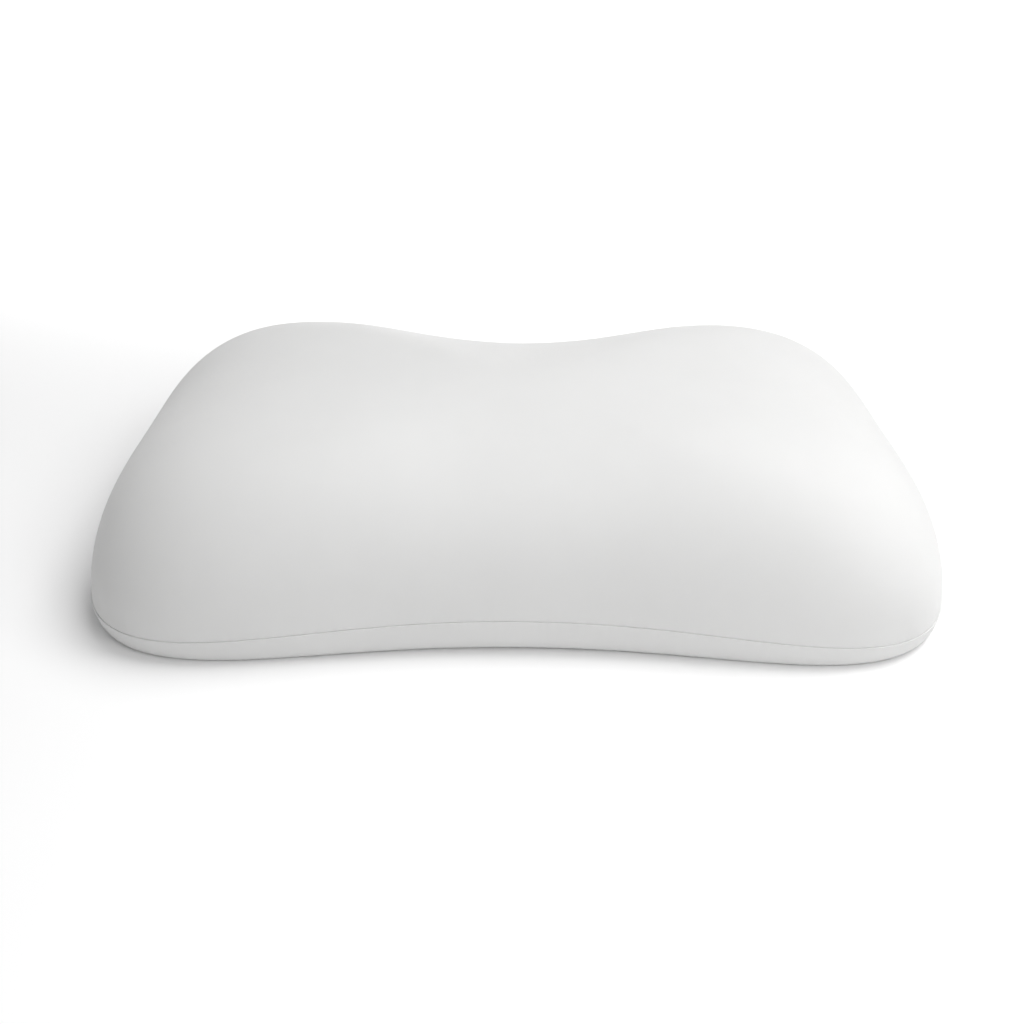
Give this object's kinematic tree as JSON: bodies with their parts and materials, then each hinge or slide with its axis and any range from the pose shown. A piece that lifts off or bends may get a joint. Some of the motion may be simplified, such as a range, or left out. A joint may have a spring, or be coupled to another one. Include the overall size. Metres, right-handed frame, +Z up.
{
  "type": "cervical pillow",
  "caption": "Contoured cervical pillow with a waisted outline, a raised neck crest, a shallow head cradle and drawn-in sides above a flat base panel.",
  "frame": {"origin": "middle of the underside, on the surface that the pillow lies on", "axes": "+X along the length, from the sleeper's left to right; +Y from the neck edge towards the crown of the head; +Z up"},
  "size_m": [0.6008, 0.3459, 0.1239],
  "materials": {
    "top_cover": "smooth white stretch knit",
    "base_cover": "matte white close-woven cloth"
  },
  "bodies": {
    "root": {"pillow": "top_cover", "base_panel": "base_cover"}
  },
  "joints": []
}
